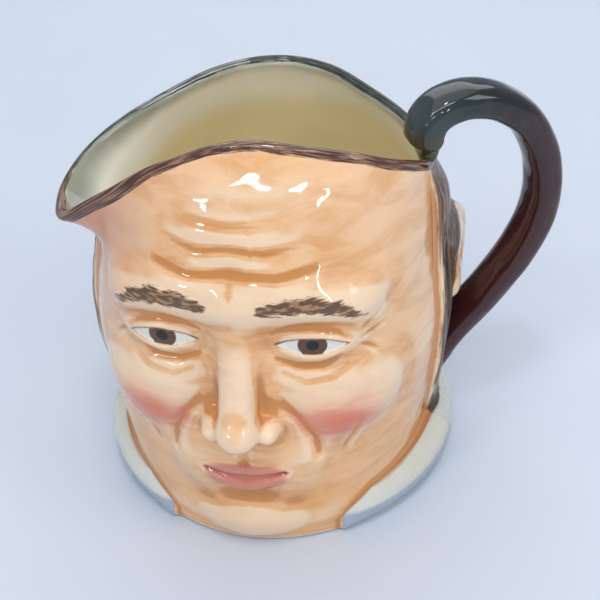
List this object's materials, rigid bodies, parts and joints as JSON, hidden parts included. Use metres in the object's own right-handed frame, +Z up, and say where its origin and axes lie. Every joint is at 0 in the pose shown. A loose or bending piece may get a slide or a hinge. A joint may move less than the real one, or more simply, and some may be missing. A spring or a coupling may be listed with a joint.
{
  "type": "character jug",
  "caption": "Glazed earthenware jug shaped as a hollow head, with an open rim drawn out to a pouring lip and a strap handle at the side.",
  "frame": {"origin": "centre of the footprint, on the plane of the standing ring", "axes": "+Z up; the face looks along -Y; +X towards the handle; the pouring lip is on the -X side"},
  "size_m": [0.1822, 0.151, 0.1671],
  "materials": {
    "painted_glaze": "hand-painted underglaze colours under a clear, glossy glaze: flesh, dark brown hair, cream collar, dark green and plum handle, olive inside"
  },
  "bodies": {
    "root": {"character_jug": "painted_glaze"}
  },
  "joints": []
}
